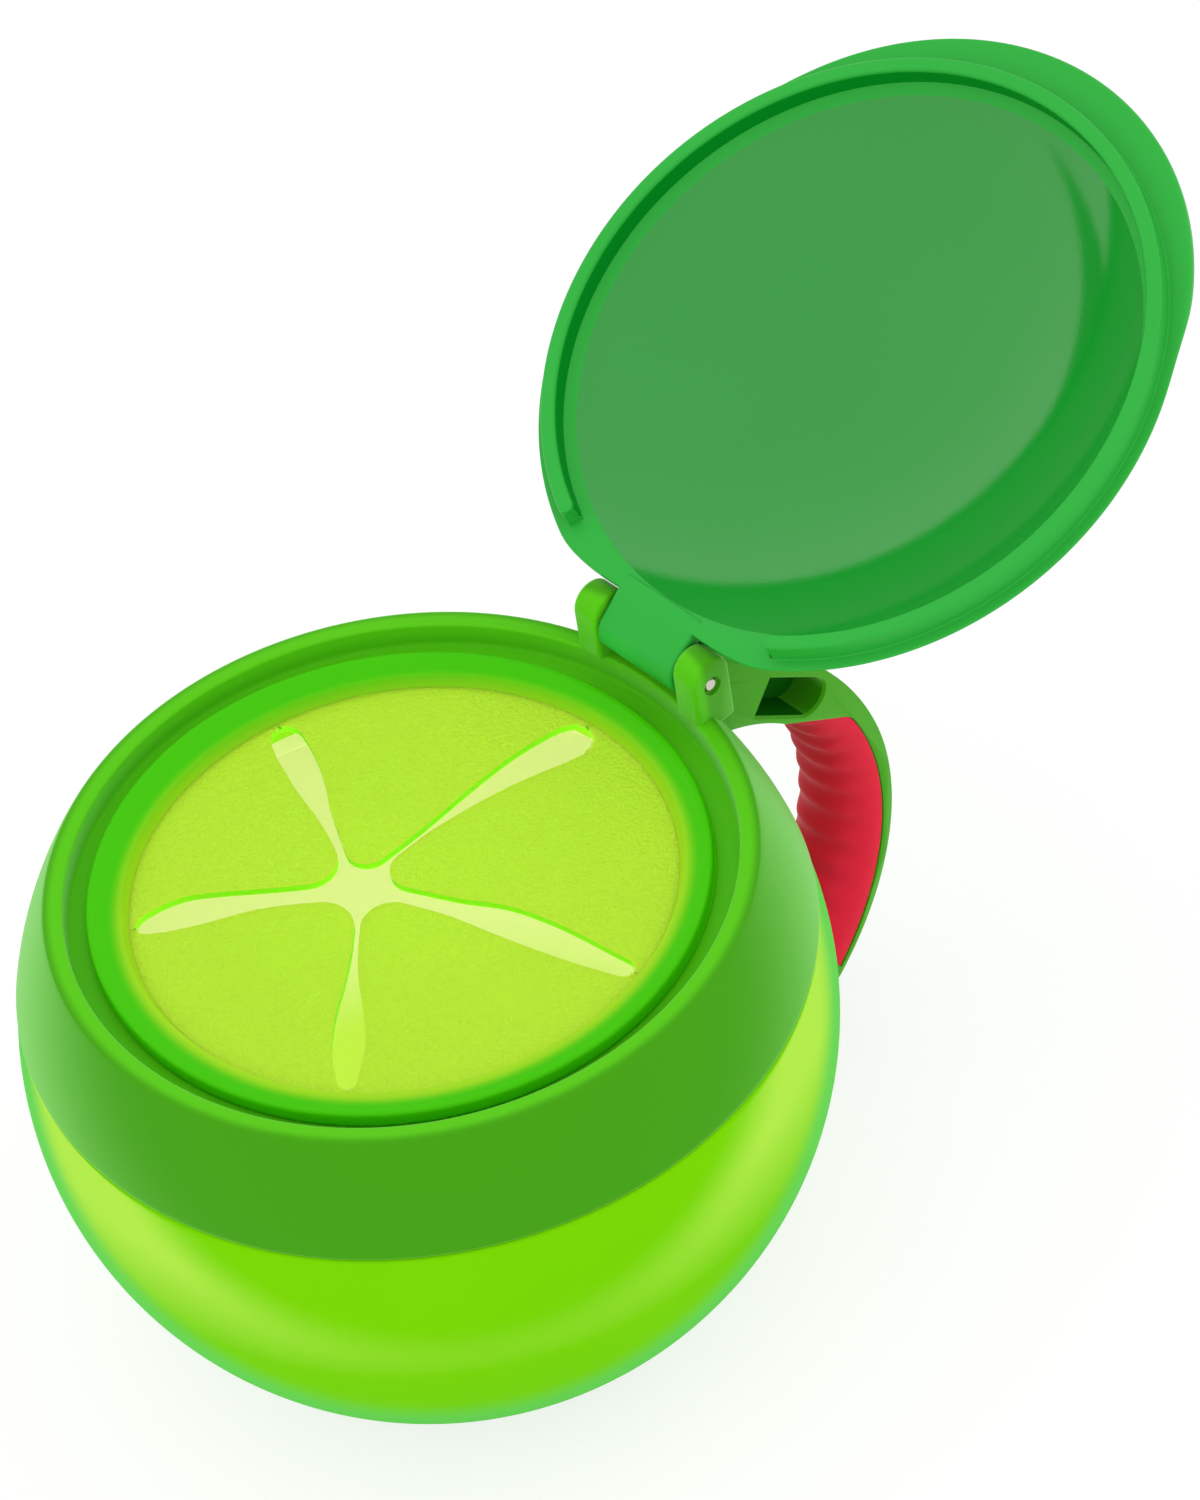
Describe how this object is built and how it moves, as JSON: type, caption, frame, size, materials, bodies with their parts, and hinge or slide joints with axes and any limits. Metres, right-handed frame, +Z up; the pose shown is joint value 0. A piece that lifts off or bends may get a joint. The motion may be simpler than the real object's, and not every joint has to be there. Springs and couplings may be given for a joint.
{
  "type": "toddler snack container",
  "caption": "Ball-shaped snack bowl for toddlers with a screw-on collar, soft slotted flaps, a domed hinged lid and a C-shaped handle with a soft grip.",
  "frame": {"origin": "middle of the bowl's flat foot, on the surface that it stands on", "axes": "+Z up along the bowl's axis, +Y towards the hinge and the handle, X along the hinge pin"},
  "size_m": [0.096, 0.165, 0.109],
  "materials": {
    "bowl_plastic": "translucent lime polypropylene, moulded smooth",
    "collar_plastic": "opaque green polypropylene, satin moulded",
    "grip_rubber": "red soft-touch elastomer with finger ridges",
    "pin_steel": "cut stainless steel wire",
    "lid_plastic": "opaque green polypropylene, glossy moulded",
    "flap_rubber": "translucent lime thermoplastic elastomer, fine matt texture"
  },
  "bodies": {
    "bowl": {"bowl": "bowl_plastic"},
    "insert": {"flap_ring": "flap_rubber"},
    "collar": {"collar": "collar_plastic", "handle": "collar_plastic", "handle_grip": "grip_rubber", "hinge_pin": "pin_steel"},
    "lid": {"lid": "lid_plastic"},
    "flap_1": {"flap_1": "flap_rubber"},
    "flap_2": {"flap_2": "flap_rubber"},
    "flap_3": {"flap_3": "flap_rubber"},
    "flap_4": {"flap_4": "flap_rubber"},
    "flap_5": {"flap_5": "flap_rubber"}
  },
  "joints": [
    {"name": "collar_lift", "type": "slide", "parent": "bowl", "child": "insert", "axis": [0, 0, 1], "range_m": [0, 0.008]},
    {"name": "collar_turn", "type": "hinge", "parent": "insert", "child": "collar", "pos_m": [0, 0, 0.0633], "axis": [0, 0, 1], "range_deg": [0, 360]},
    {"name": "lid_hinge", "type": "hinge", "parent": "collar", "child": "lid", "pos_m": [0, 0.04067, 0.071], "axis": [1, 0, 0], "range_deg": [0, 156.4]},
    {"name": "flap_1_bend", "type": "hinge", "parent": "insert", "child": "flap_1", "pos_m": [0.01226, 0.0187, 0.0628], "axis": [0.8363, -0.5483, 0], "range_deg": [-40, 55], "stiffness_Nm_per_rad": 0.006},
    {"name": "flap_2_bend", "type": "hinge", "parent": "insert", "child": "flap_2", "pos_m": [-0.01498, 0.01791, 0.0628], "axis": [0.7671, 0.6415, 0], "range_deg": [-40, 55], "stiffness_Nm_per_rad": 0.006},
    {"name": "flap_3_bend", "type": "hinge", "parent": "insert", "child": "flap_3", "pos_m": [-0.02343, -0.00812, 0.0628], "axis": [-0.3273, 0.9449, 0], "range_deg": [-40, 55], "stiffness_Nm_per_rad": 0.006},
    {"name": "flap_4_bend", "type": "hinge", "parent": "insert", "child": "flap_4", "pos_m": [-0.00037, -0.02413, 0.0628], "axis": [-0.9999, 0.0155, 0], "range_deg": [-40, 55], "stiffness_Nm_per_rad": 0.006},
    {"name": "flap_5_bend", "type": "hinge", "parent": "insert", "child": "flap_5", "pos_m": [0.0234, -0.00816, 0.0628], "axis": [-0.3292, -0.9442, 0], "range_deg": [-40, 55], "stiffness_Nm_per_rad": 0.006}
  ],
  "couplings": [
    {"joint": "collar_lift", "follows": "collar_turn", "m_per_rad": 0.0012732}
  ]
}
